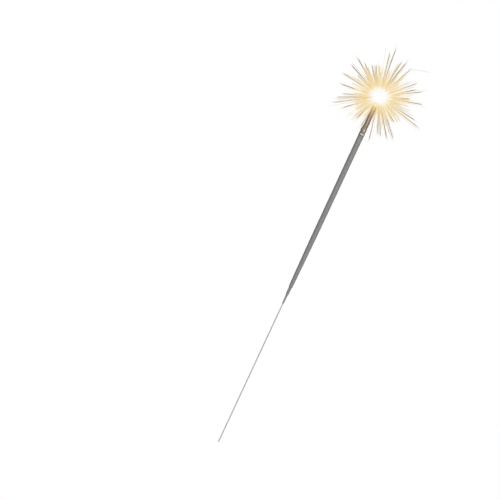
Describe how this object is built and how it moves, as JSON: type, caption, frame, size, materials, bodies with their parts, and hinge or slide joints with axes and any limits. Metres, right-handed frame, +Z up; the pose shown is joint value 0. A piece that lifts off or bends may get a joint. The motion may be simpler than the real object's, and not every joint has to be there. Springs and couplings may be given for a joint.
{
  "type": "sparkler",
  "caption": "Lit hand-held sparkler: a straight steel wire, bare at the handle, dipped in layers of grey spark paste, with a burning tip, a white flame and a ball of golden sparks.",
  "frame": {"origin": "centre of the wire's lower cut end, where the bare handle begins", "axes": "+Z up along the wire from the handle to the flame; X and Y across the stick, with no preferred side"},
  "size_m": [0.062, 0.0536, 0.2833],
  "materials": {
    "steel_wire": "plain drawn steel, dull bright",
    "spark_paste": "dried grey paste, matt and gritty, with metal grains",
    "char": "blistered char with pale ash on its rolls",
    "hot_crust": "brown burnt crust, glowing towards the flame",
    "molten_slag": "molten slag, yellow-hot",
    "flame_light": null,
    "near_spark_light": null,
    "far_spark_light": null
  },
  "bodies": {
    "root": {"wire": "steel_wire", "first_dip": "spark_paste", "second_dip": "spark_paste", "third_dip": "spark_paste", "char_collar": "char", "burning_stub": "hot_crust", "slag_bead": "molten_slag", "flame": "flame_light", "short_sparks": "near_spark_light", "middle_sparks": "near_spark_light", "long_sparks": "far_spark_light"}
  },
  "joints": []
}
